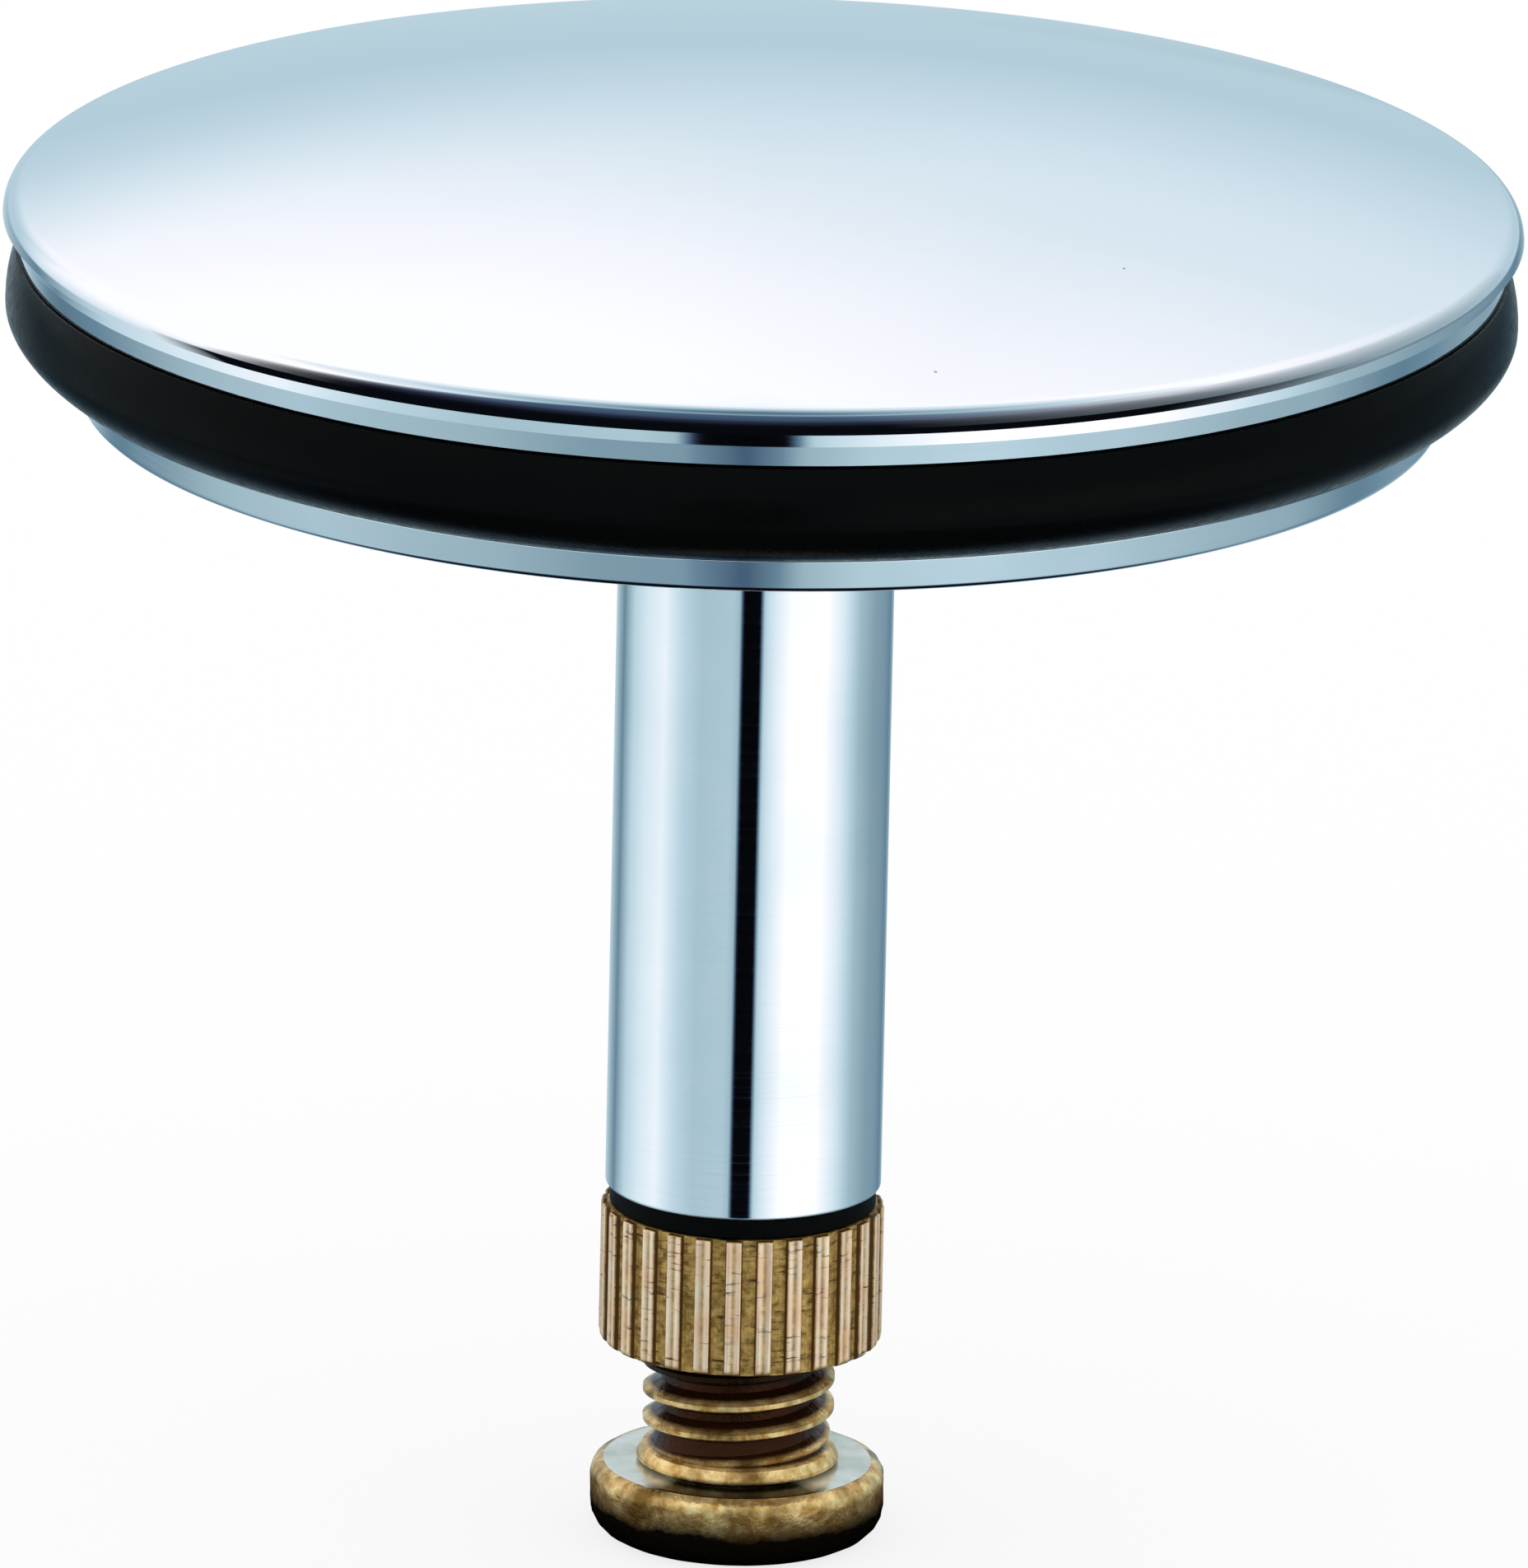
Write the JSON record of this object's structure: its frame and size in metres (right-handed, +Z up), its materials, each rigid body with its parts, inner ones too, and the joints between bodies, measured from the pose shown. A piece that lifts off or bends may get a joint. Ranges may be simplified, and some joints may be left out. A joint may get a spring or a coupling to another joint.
{
  "type": "drain stopper",
  "caption": "Pop-up basin plug with a chromed dome cap, rubber lip seal, chromed stem, knurled brass lock nut and a brass adjusting screw whose head is the foot.",
  "frame": {"origin": "centre of the adjusting screw's foot, on the surface that it stands on", "axes": "+Z up the stem towards the dome cap; the part is round about Z"},
  "size_m": [0.063, 0.063, 0.0623],
  "materials": {
    "cap_chrome": "mirror polished",
    "plate_chrome": "polished, faint turned lines",
    "seal_rubber": "smooth moulded rubber",
    "flange_chrome": "polished, faint turned lines",
    "stud_brass": "machined",
    "gasket_rubber": "matt",
    "stem_chrome": "polished, faint turned lines",
    "washer_rubber": "matt",
    "nut_brass": "bright knurled crests, dull valleys",
    "screw_brass": "raw and darkened, rough rim"
  },
  "bodies": {
    "plug": {"dome_cap": "cap_chrome", "carrier_plate": "plate_chrome", "lip_seal": "seal_rubber", "clamp_flange": "flange_chrome", "centre_stud": "stud_brass", "stem_gasket": "gasket_rubber", "stem": "stem_chrome"},
    "washer": {"lock_washer": "washer_rubber"},
    "nut": {"lock_nut": "nut_brass"},
    "screw": {"adjusting_screw": "screw_brass"}
  },
  "joints": [
    {"name": "screw_advance", "type": "slide", "parent": "plug", "child": "washer", "axis": [0, 0, -1], "range_m": [0, 0.0075]},
    {"name": "screw_turn", "type": "hinge", "parent": "washer", "child": "screw", "pos_m": [0, 0, 0], "axis": [0, 0, -1], "range_deg": [0, 2160]},
    {"name": "nut_turn", "type": "hinge", "parent": "washer", "child": "nut", "pos_m": [0, 0, 0.0114], "axis": [0, 0, -1], "range_deg": [0, 2160]}
  ],
  "couplings": [
    {"joint": "screw_turn", "follows": "screw_advance", "rad_per_m": 5026.5},
    {"joint": "nut_turn", "follows": "screw_advance", "rad_per_m": 5026.5}
  ]
}
